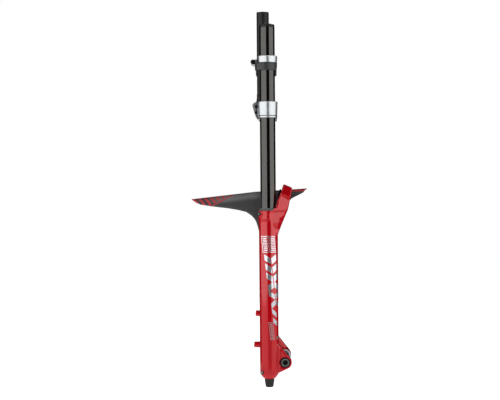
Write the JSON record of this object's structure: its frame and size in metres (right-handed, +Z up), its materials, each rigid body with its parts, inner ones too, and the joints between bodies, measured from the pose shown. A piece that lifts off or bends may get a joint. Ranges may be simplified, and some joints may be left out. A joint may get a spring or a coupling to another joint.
{
  "type": "dual-crown suspension fork",
  "caption": "Dual-crown downhill suspension fork with polished clamps, black sliding tubes, red one-piece lower legs, fender, thru axle and adjusters.",
  "frame": {"origin": "on the steerer axis, level with the crown race seat on the lower crown", "axes": "+X forward, +Y to the rider's left, +Z up along the steerer and the stanchions"},
  "size_m": [0.2675, 0.2071, 0.8592],
  "materials": {
    "steerer": "satin black anodised",
    "stanchion": "gloss black anodised",
    "crown": "polished silver",
    "black_hardware": "black oxide",
    "steel_hardware": "plain steel",
    "bare_alloy": "machined",
    "brass_alloy": "gold anodised",
    "rubber": "matt",
    "bumper_rubber": "matt grey",
    "black_alloy": "satin black anodised",
    "red_casting": "gloss red",
    "fender_plastic": "satin black",
    "black_plastic": "satin black",
    "foam": "open-cell foam",
    "bushing": "low-friction liner",
    "spacer_plastic": "moulded",
    "grey_alloy": "satin grey",
    "button": "moulded"
  },
  "bodies": {
    "upper_unit": {"steerer_tube": "steerer", "lower_crown": "crown", "lower_crown_bolts": "black_hardware", "stanchion_right": "stanchion", "stanchion_left": "stanchion", "frame_bumper_right": "bumper_rubber", "frame_bumper_left": "bumper_rubber", "damper_top_cap": "black_alloy", "air_top_cap": "black_alloy", "air_valve_stem": "bare_alloy", "volume_spacers": "spacer_plastic", "damper_cartridge": "bare_alloy", "compression_valve": "brass_alloy", "expansion_bladder": "rubber", "damper_seal_head": "bare_alloy", "air_seal_head": "bare_alloy", "top_out_bumpers": "rubber"},
    "upper_crown": {"upper_crown": "crown", "upper_crown_bolts": "black_hardware", "steerer_pinch_bolt": "black_hardware"},
    "lowers": {"lower_legs": "red_casting", "dust_wiper_right": "rubber", "dust_wiper_left": "rubber", "foam_rings": "foam", "upper_bushings": "bushing", "lower_bushings": "bushing", "fender": "fender_plastic", "fender_bolts": "black_hardware", "hose_guide": "black_plastic", "hose_guide_bolt": "black_hardware", "damper_shaft": "bare_alloy", "rebound_piston": "brass_alloy", "air_shaft": "bare_alloy", "air_piston": "black_plastic", "bottom_out_bumpers": "rubber", "foot_bolt_right": "steel_hardware", "foot_bolt_left": "steel_hardware", "crush_washers": "bare_alloy", "relief_valve_housings": "black_alloy", "leg_port_screw": "black_hardware"},
    "axle": {"axle": "black_alloy", "axle_insert": "grey_alloy"},
    "rebound_knob": {"rebound_knob": "black_alloy"},
    "rebound_needle": {"rebound_needle": "bare_alloy"},
    "high_speed_dial": {"high_speed_dial": "black_alloy"},
    "low_speed_dial": {"low_speed_dial": "black_alloy", "low_speed_rod": "bare_alloy"},
    "relief_button_right": {"relief_button_right": "button"},
    "relief_button_left": {"relief_button_left": "button"},
    "valve_cap": {"valve_cap": "black_plastic"},
    "valve_core": {"valve_core_pin": "brass_alloy"}
  },
  "joints": [
    {"name": "fork_travel", "type": "slide", "parent": "upper_unit", "child": "lowers", "axis": [0, 0, 1], "range_m": [0, 0.2], "stiffness_N_per_m": 6000},
    {"name": "upper_crown_slide", "type": "slide", "parent": "upper_unit", "child": "upper_crown", "axis": [0, 0, 1], "range_m": [0, 0.13]},
    {"name": "axle_pull", "type": "slide", "parent": "lowers", "child": "axle", "axis": [0, -1, 0], "range_m": [0, 0.17]},
    {"name": "rebound_turn", "type": "hinge", "parent": "lowers", "child": "rebound_knob", "pos_m": [0.01, -0.076, -0.65], "axis": [0, 0, -1], "range_deg": [-360, 360]},
    {"name": "rebound_needle_slide", "type": "slide", "parent": "lowers", "child": "rebound_needle", "axis": [0, 0, 1], "range_m": [-0.00079, 0.00079]},
    {"name": "high_speed_turn", "type": "hinge", "parent": "upper_unit", "child": "high_speed_dial", "pos_m": [0.01, -0.076, 0.1638], "axis": [0, 0, -1], "range_deg": [-75, 75]},
    {"name": "low_speed_turn", "type": "hinge", "parent": "upper_unit", "child": "low_speed_dial", "pos_m": [0.01, -0.076, 0.1656], "axis": [0, 0, -1], "range_deg": [-170, 170]},
    {"name": "relief_press_right", "type": "slide", "parent": "lowers", "child": "relief_button_right", "axis": [0.7986, 0.6018, 0], "range_m": [0, 0.0012], "stiffness_N_per_m": 500},
    {"name": "relief_press_left", "type": "slide", "parent": "lowers", "child": "relief_button_left", "axis": [0.7986, -0.6018, 0], "range_m": [0, 0.0012], "stiffness_N_per_m": 500},
    {"name": "valve_cap_lift", "type": "slide", "parent": "upper_unit", "child": "valve_cap", "axis": [0, 0, 1], "range_m": [0, 0.02]},
    {"name": "valve_core_press", "type": "slide", "parent": "upper_unit", "child": "valve_core", "axis": [0, 0, -1], "range_m": [0, 0.0015], "stiffness_N_per_m": 400}
  ],
  "couplings": [
    {"joint": "rebound_turn", "follows": "rebound_needle_slide", "rad_per_m": 7874}
  ]
}
